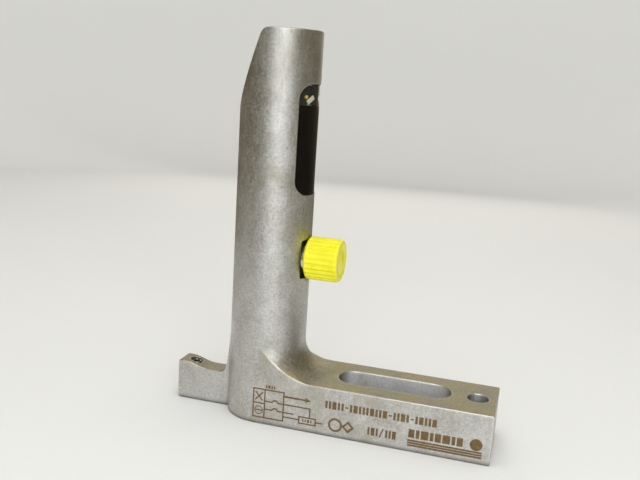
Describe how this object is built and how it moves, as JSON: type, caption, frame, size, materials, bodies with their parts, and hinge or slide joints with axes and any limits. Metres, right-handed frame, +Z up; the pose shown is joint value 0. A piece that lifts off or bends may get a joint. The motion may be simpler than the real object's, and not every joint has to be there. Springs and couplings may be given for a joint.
{
  "type": "photoelectric sensor",
  "caption": "Photoelectric sensor in a steel tower housing with a slotted foot, a curved window, a small clamping lug and a capped round plug connector.",
  "frame": {"origin": "where the tower's axis meets the base plane, on the closing disc's outer face", "axes": "+Z up the tower, +X along the foot towards its dowel hole, +Y across the foot, away from the marked side"},
  "size_m": [0.1287, 0.03, 0.15],
  "materials": {
    "housing_steel": "machined and blasted stainless steel, satin, slightly mottled",
    "turned_steel": "face-turned stainless steel",
    "screw_steel": "plain steel, slightly oiled",
    "seal_rubber": "matte black rubber",
    "filter_plastic": "polished black infrared filter plastic",
    "clear_lens": "clear, slightly smoky moulded lens plastic",
    "black_plastic": "matte black moulded plastic",
    "led_epoxy": "tinted clear epoxy",
    "led_package": "ivory package with gold-coloured pads and a clear dome",
    "white_board": "white solder mask",
    "circuit_board": "green solder mask over glass-fibre laminate",
    "flex_film": "amber flexible film",
    "component_body": "black moulded component package",
    "capacitor_body": "ochre moulded case",
    "nickel_brass": "nickel-plated brass, bright",
    "gold_contact": "gold-plated contact",
    "wire_brown": "brown wire insulation",
    "wire_white": "white wire insulation",
    "wire_blue": "blue wire insulation",
    "wire_black": "black wire insulation",
    "yellow_plastic": "bright yellow moulded plastic, semi-gloss"
  },
  "bodies": {
    "sensor_body": {"housing": "housing_steel", "closing_disc": "turned_steel", "disc_seal_ring": "seal_rubber", "filter_window": "filter_plastic", "indicator_lens": "clear_lens", "window_gasket": "seal_rubber", "lens_carrier": "black_plastic", "emitter_lens": "clear_lens", "receiver_lens": "clear_lens", "emitter_led": "led_epoxy", "receiver_diode": "component_body", "status_led": "led_package", "indicator_board": "white_board", "main_board": "circuit_board", "board_link": "flex_film", "board_carrier": "black_plastic", "controller_chip": "component_body", "output_transistor": "component_body", "protection_diode": "component_body", "voltage_regulator": "component_body", "smoothing_capacitor": "capacitor_body", "connector_shell": "nickel_brass", "connector_seal": "seal_rubber", "connector_insert": "black_plastic", "contact_pin_1": "gold_contact", "contact_pin_2": "gold_contact", "contact_pin_3": "gold_contact", "contact_pin_4": "gold_contact", "lead_wire_1": "wire_brown", "lead_wire_2": "wire_white", "lead_wire_3": "wire_blue", "lead_wire_4": "wire_black", "lug_set_screw": "screw_steel"},
    "cap_seal": {"cap_seal": "seal_rubber"},
    "cap": {"protective_cap": "yellow_plastic"}
  },
  "joints": [
    {"name": "cap_travel", "type": "slide", "parent": "sensor_body", "child": "cap_seal", "axis": [1, 0, 0], "range_m": [0, 0.01]},
    {"name": "cap_turn", "type": "hinge", "parent": "cap_seal", "child": "cap", "pos_m": [0.0214, 0, 0.065], "axis": [1, 0, 0], "range_deg": [0, 3601]}
  ],
  "couplings": [
    {"joint": "cap_turn", "follows": "cap_travel", "rad_per_m": 6283.2}
  ]
}
